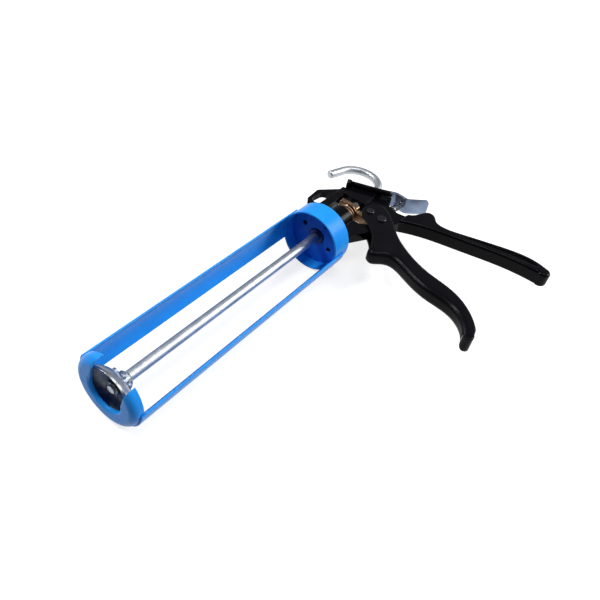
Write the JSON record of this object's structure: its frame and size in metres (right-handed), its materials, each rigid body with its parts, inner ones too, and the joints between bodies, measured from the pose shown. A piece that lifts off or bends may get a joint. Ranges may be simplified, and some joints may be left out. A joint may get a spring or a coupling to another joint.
{
  "type": "caulking gun",
  "caption": "Skeleton caulking gun: open swivelling cradle for a sealant cartridge, hooked push rod with plunger, trigger-driven feed plates and a sprung rod release lever.",
  "frame": {"origin": "on the push rod's axis, in the seat disc's front face, where a cartridge's rear rim seats", "axes": "+X back along the push rod, from the front cap to the hook; +Y the gun's own up, away from the grip; +Z the gun's left side, up in the picture because it lies on its right side"},
  "size_m": [0.355, 0.2289, 0.055],
  "materials": {
    "cradle_paint": "blue powder coat on sheet steel, semi-gloss",
    "swivel_steel": "dark phosphated steel",
    "rod_zinc": "bright zinc-plated drawn steel",
    "plunger_zinc": "zinc-plated pressed steel",
    "frame_casting": "black gloss paint on a light-alloy casting",
    "trigger_paint": "black gloss paint on pressed steel",
    "rivet_steel": "steel rivets painted over with the trigger",
    "drive_yellow_zinc": "yellow-passivated zinc on steel",
    "spring_steel": "bright spring wire",
    "lever_zinc": "blue-passivated zinc on sheet steel"
  },
  "bodies": {
    "frame": {"handle_frame": "frame_casting", "return_spring": "drive_yellow_zinc", "release_spring": "spring_steel"},
    "cradle": {"rear_drum": "cradle_paint", "seat_disc": "cradle_paint", "front_cap": "cradle_paint", "strap_upper": "cradle_paint", "strap_lower": "cradle_paint", "swivel_bush": "swivel_steel", "thrust_washer": "swivel_steel", "swivel_circlip": "swivel_steel"},
    "push_rod": {"push_rod": "rod_zinc", "plunger_disc": "plunger_zinc", "plunger_washer": "plunger_zinc", "rod_collar": "rod_zinc", "plunger_nut": "plunger_zinc"},
    "trigger": {"trigger": "trigger_paint", "trigger_pivot_rivet": "rivet_steel", "drive_pin": "rivet_steel"},
    "drive": {"spring_washer": "drive_yellow_zinc", "drive_plate_front": "drive_yellow_zinc", "drive_plate_back": "drive_yellow_zinc"},
    "release_lever": {"release_lever": "lever_zinc"}
  },
  "joints": [
    {"name": "cradle_swivel", "type": "hinge", "parent": "frame", "child": "cradle", "pos_m": [0, 0, 0], "axis": [1, 0, 0], "continuous": true},
    {"name": "rod_slide", "type": "slide", "parent": "frame", "child": "push_rod", "axis": [1, 0, 0], "range_m": [0, 0.208]},
    {"name": "trigger_pivot", "type": "hinge", "parent": "frame", "child": "trigger", "pos_m": [0.0555, -0.0315, 0], "axis": [0, 0, 1], "range_deg": [0, 38], "stiffness_Nm_per_rad": 0.5, "springref_deg": -22.92},
    {"name": "feed_slide", "type": "slide", "parent": "frame", "child": "drive", "axis": [-1, 0, 0], "range_m": [0, 0.0091], "deforming": ["return_spring"]},
    {"name": "release_pivot", "type": "hinge", "parent": "frame", "child": "release_lever", "pos_m": [0.08053, 0.02074, 0], "axis": [0, 0, -1], "range_deg": [0, 5], "stiffness_Nm_per_rad": 3, "springref_deg": -5.73, "deforming": ["release_spring"]}
  ],
  "couplings": [
    {"joint": "feed_slide", "follows": "trigger_pivot", "m_per_rad": 0.0136}
  ]
}
